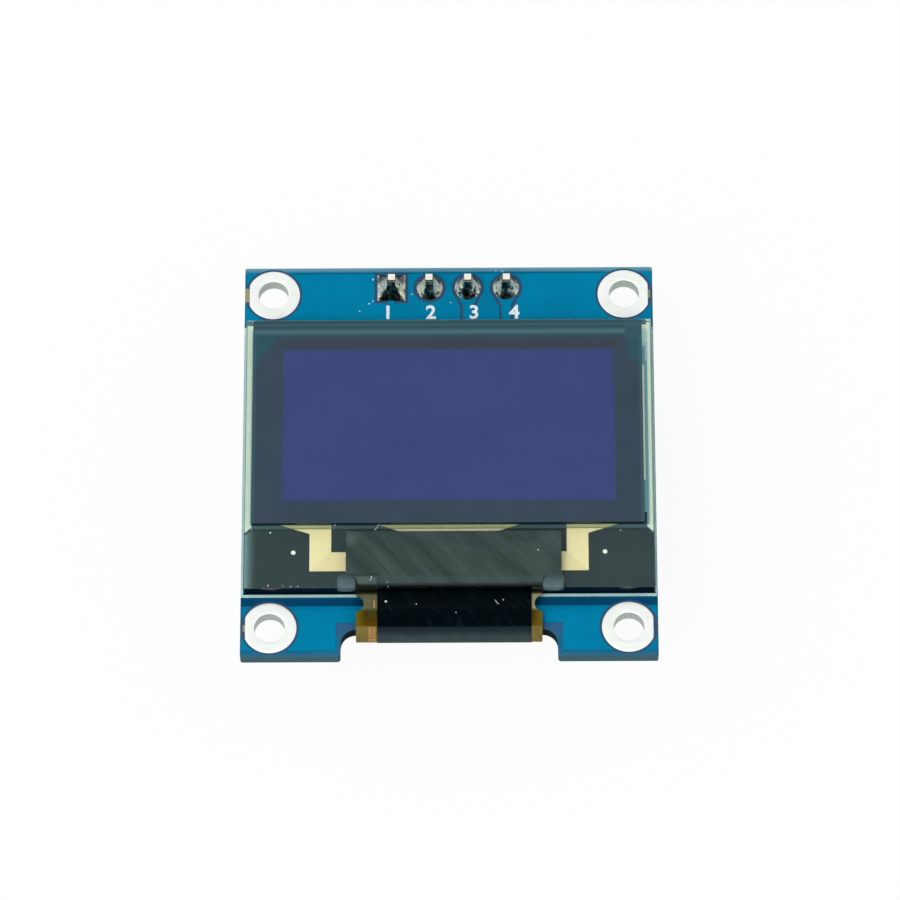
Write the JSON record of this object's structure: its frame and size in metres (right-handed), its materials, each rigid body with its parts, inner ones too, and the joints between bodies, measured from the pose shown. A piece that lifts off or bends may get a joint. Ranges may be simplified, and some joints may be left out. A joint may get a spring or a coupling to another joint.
{
  "type": "oled display module",
  "caption": "Small blue circuit board with a dark glass display panel on its front, a folded flex in a notch of its lower side, corner mounting holes and a row of header pins behind.",
  "frame": {"origin": "centre of the four mounting holes, on the front face of the circuit board", "axes": "+Z out of the display, +Y towards the header pins, +X to the right as the display is read"},
  "size_m": [0.0272, 0.028, 0.0113],
  "materials": {
    "amber_film": "amber, glossy",
    "black_coverlay": "black, semi-gloss",
    "black_plastic": "moulded, matt",
    "bond_film": "pale",
    "capacitor_ceramic": "brown ceramic with metal ends",
    "cathode_metal": "evaporated metal",
    "clear_glass": "polished, cut edges",
    "dark_tape": "dark grey",
    "drying_sheet": "chalky",
    "glue_resin": "cloudy, soft edges",
    "lead_metal": "tin-plated",
    "moulded_case": "moulded, matt",
    "pin_metal": "gold-flashed",
    "pixel_layer": "unlit, dark blue",
    "polarizer_film": "dark, semi-gloss",
    "resistor_ceramic": "black top with metal ends",
    "seal_resin": "pale resin",
    "silicon": "polished die",
    "solder": "shiny solder",
    "solder_mask_board": "blue solder mask over glass-fibre board",
    "tinned_copper": "bright tinned",
    "trace_metal": "cream, fine parallel lines",
    "white_tape": "foam"
  },
  "bodies": {
    "root": {"bond_strip": "bond_film", "cap_glass": "clear_glass", "cathode_sheet": "cathode_metal", "chip_capacitor_1": "capacitor_ceramic", "chip_capacitor_2": "capacitor_ceramic", "chip_capacitor_3": "capacitor_ceramic", "chip_capacitor_4": "capacitor_ceramic", "chip_capacitor_5": "capacitor_ceramic", "chip_capacitor_6": "capacitor_ceramic", "chip_capacitor_7": "capacitor_ceramic", "chip_capacitor_8": "capacitor_ceramic", "chip_resistor_1": "resistor_ceramic", "chip_resistor_2": "resistor_ceramic", "chip_resistor_3": "resistor_ceramic", "chip_resistor_4": "resistor_ceramic", "chip_resistor_5": "resistor_ceramic", "chip_resistor_6": "resistor_ceramic", "chip_resistor_7": "resistor_ceramic", "circuit_board": "solder_mask_board", "diode_body": "moulded_case", "diode_leads": "lead_metal", "driver_chip": "silicon", "drying_sheet": "drying_sheet", "flex_contacts": "tinned_copper", "flex_coverlay": "black_coverlay", "flex_film": "amber_film", "flex_solder": "solder", "glue_tab_left": "glue_resin", "glue_tab_right": "glue_resin", "header_body": "black_plastic", "header_pad_1": "tinned_copper", "header_pad_2": "tinned_copper", "header_pad_3": "tinned_copper", "header_pad_4": "tinned_copper", "header_pin_1": "pin_metal", "header_pin_2": "pin_metal", "header_pin_3": "pin_metal", "header_pin_4": "pin_metal", "ledge_mask": "dark_tape", "ledge_traces": "trace_metal", "mounting_ring_1": "tinned_copper", "mounting_ring_2": "tinned_copper", "mounting_ring_3": "tinned_copper", "mounting_ring_4": "tinned_copper", "mounting_tape": "white_tape", "pin_solder_1": "solder", "pin_solder_2": "solder", "pin_solder_3": "solder", "pin_solder_4": "solder", "pixel_matrix": "pixel_layer", "polarizer": "polarizer_film", "rear_solder": "solder", "regulator_body": "moulded_case", "regulator_leads": "lead_metal", "seal_frame": "seal_resin", "shield_tape": "dark_tape", "substrate_glass": "clear_glass"}
  },
  "joints": []
}
